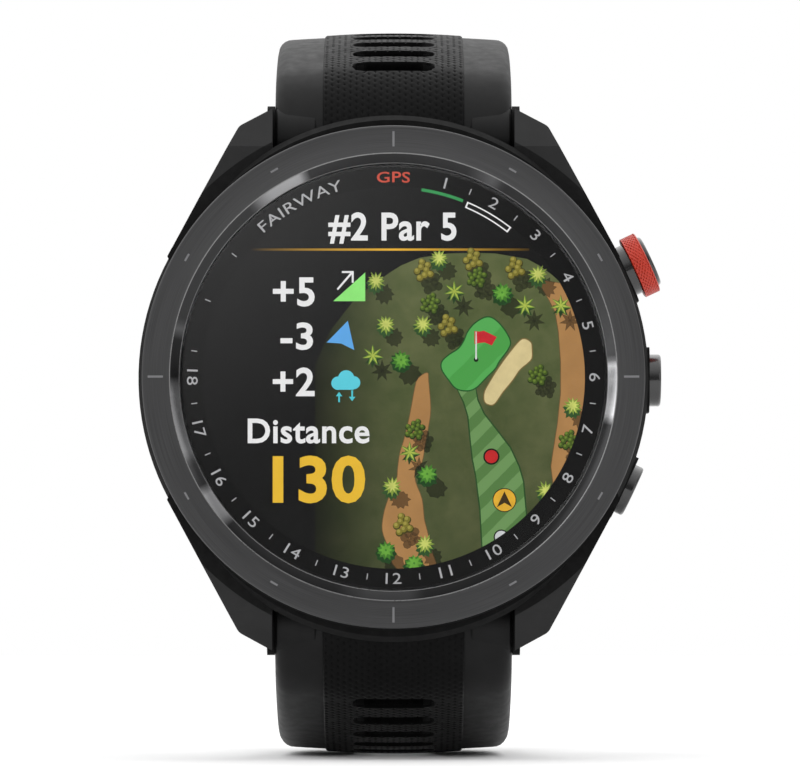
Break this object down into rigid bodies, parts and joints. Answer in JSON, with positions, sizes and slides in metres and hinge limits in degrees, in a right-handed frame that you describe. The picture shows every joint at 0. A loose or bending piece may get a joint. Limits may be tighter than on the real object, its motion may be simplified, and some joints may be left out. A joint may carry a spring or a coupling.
{
  "type": "golf gps watch",
  "caption": "Round golf GPS watch with a slim marked bezel, side push buttons, a lit map display and a two-piece silicone strap with quick-release latches and a pin buckle.",
  "frame": {"origin": "centre of the sensor window's flat outer face on the case back, where the watch meets the wrist", "axes": "+Z towards 12 o'clock, +X towards 3 o'clock and the buttons, +Y from the display towards the wrist"},
  "size_m": [0.0483, 0.0795, 0.0693],
  "materials": {
    "steel": "satin",
    "silicone": "matte",
    "gasket_rubber": "matte",
    "bezel_ceramic": "brushed",
    "lens_glass": "polished",
    "display": "gloss",
    "scale_print": "matte",
    "sensor_glass": "polished",
    "circuit_board": "satin",
    "flex_film": "satin",
    "plated_metal": "satin",
    "battery_wrap": "satin",
    "tungsten": "satin",
    "red_ring": "anodised",
    "button_polish": "polished",
    "component": "satin",
    "gold": "polished",
    "buckle_metal": "coated",
    "case_polymer": "matte",
    "inner_polymer": "matte"
  },
  "bodies": {
    "case": {"main_case": "case_polymer", "bezel": "bezel_ceramic", "display_lens": "lens_glass", "lens_gasket": "gasket_rubber", "hole_scale_ring": "scale_print", "display_panel": "display", "display_ribbon": "flex_film", "mid_frame": "inner_polymer", "antenna_ring": "plated_metal", "main_board": "circuit_board", "processor_shield": "plated_metal", "battery": "battery_wrap", "motor_can": "plated_metal", "rear_cover": "case_polymer", "rear_gasket": "gasket_rubber", "rear_screw_1": "steel", "rear_screw_2": "steel", "rear_screw_3": "steel", "rear_screw_4": "steel", "sensor_window": "sensor_glass", "sensor_board": "circuit_board", "sensor_leds": "component", "sensor_photodiodes": "component", "charge_port": "inner_polymer", "charge_contacts": "gold", "barometer_vent": "inner_polymer", "action_switch": "component", "menu_switch": "component", "back_switch": "component", "upper_lug_pin": "steel", "lower_lug_pin": "steel", "upper_pin_collars": "inner_polymer", "lower_pin_collars": "inner_polymer", "upper_lug_screw_left": "steel", "upper_lug_screw_right": "steel", "lower_lug_screw_left": "steel", "lower_lug_screw_right": "steel"},
    "action_button": {"action_button_cap": "button_polish", "action_button_ring": "red_ring", "action_button_seal": "gasket_rubber", "action_button_clip": "steel"},
    "menu_button": {"menu_button_cap": "button_polish", "menu_button_seal": "gasket_rubber", "menu_button_clip": "steel"},
    "back_button": {"back_button_cap": "button_polish", "back_button_seal": "gasket_rubber", "back_button_clip": "steel"},
    "vibration_rotor": {"motor_weight": "tungsten"},
    "upper_strap_half": {"upper_strap": "silicone", "upper_strap_hook": "inner_polymer", "fixed_keeper": "silicone", "buckle_bar": "steel"},
    "upper_latch": {"upper_latch": "buckle_metal"},
    "sliding_keeper": {"sliding_keeper": "silicone"},
    "buckle": {"buckle_frame": "buckle_metal"},
    "tongue": {"buckle_tongue": "buckle_metal"},
    "lower_strap_half": {"lower_strap": "silicone", "lower_strap_hook": "inner_polymer"},
    "lower_latch": {"lower_latch": "buckle_metal"}
  },
  "joints": [
    {"name": "action_button_press", "type": "slide", "parent": "case", "child": "action_button", "axis": [-0.907, 0, -0.421], "range_m": [0, 0.00055], "stiffness_N_per_m": 300},
    {"name": "menu_button_press", "type": "slide", "parent": "case", "child": "menu_button", "axis": [-1, 0, 0.0044], "range_m": [0, 0.00055], "stiffness_N_per_m": 300},
    {"name": "back_button_press", "type": "slide", "parent": "case", "child": "back_button", "axis": [-0.9045, 0, 0.4266], "range_m": [0, 0.00055], "stiffness_N_per_m": 300},
    {"name": "vibration_spin", "type": "hinge", "parent": "case", "child": "vibration_rotor", "pos_m": [0, -0.00685, 0.0142], "axis": [0, 1, 0], "continuous": true},
    {"name": "upper_strap_pivot", "type": "hinge", "parent": "case", "child": "upper_strap_half", "pos_m": [0, -0.005, 0.0227], "axis": [1, 0, 0], "range_deg": [0, 50]},
    {"name": "lower_strap_pivot", "type": "hinge", "parent": "case", "child": "lower_strap_half", "pos_m": [0, -0.005, -0.0227], "axis": [-1, 0, 0], "range_deg": [0, 50]},
    {"name": "upper_latch_slide", "type": "slide", "parent": "upper_strap_half", "child": "upper_latch", "axis": [0, 0.5736, 0.8192], "range_m": [0, 0.0022], "stiffness_N_per_m": 200},
    {"name": "lower_latch_slide", "type": "slide", "parent": "lower_strap_half", "child": "lower_latch", "axis": [0, 0.5592, -0.829], "range_m": [0, 0.0022], "stiffness_N_per_m": 200},
    {"name": "keeper_slide", "type": "slide", "parent": "upper_strap_half", "child": "sliding_keeper", "axis": [0, 0, -1], "range_m": [0, 0.0048]},
    {"name": "buckle_hinge", "type": "hinge", "parent": "upper_strap_half", "child": "buckle", "pos_m": [0, 0.03458, -0.00796], "axis": [1, 0, 0], "range_deg": [-30, 20]},
    {"name": "tongue_hinge", "type": "hinge", "parent": "buckle", "child": "tongue", "pos_m": [0, 0.03458, -0.00796], "axis": [1, 0, 0], "range_deg": [0, 95]}
  ]
}
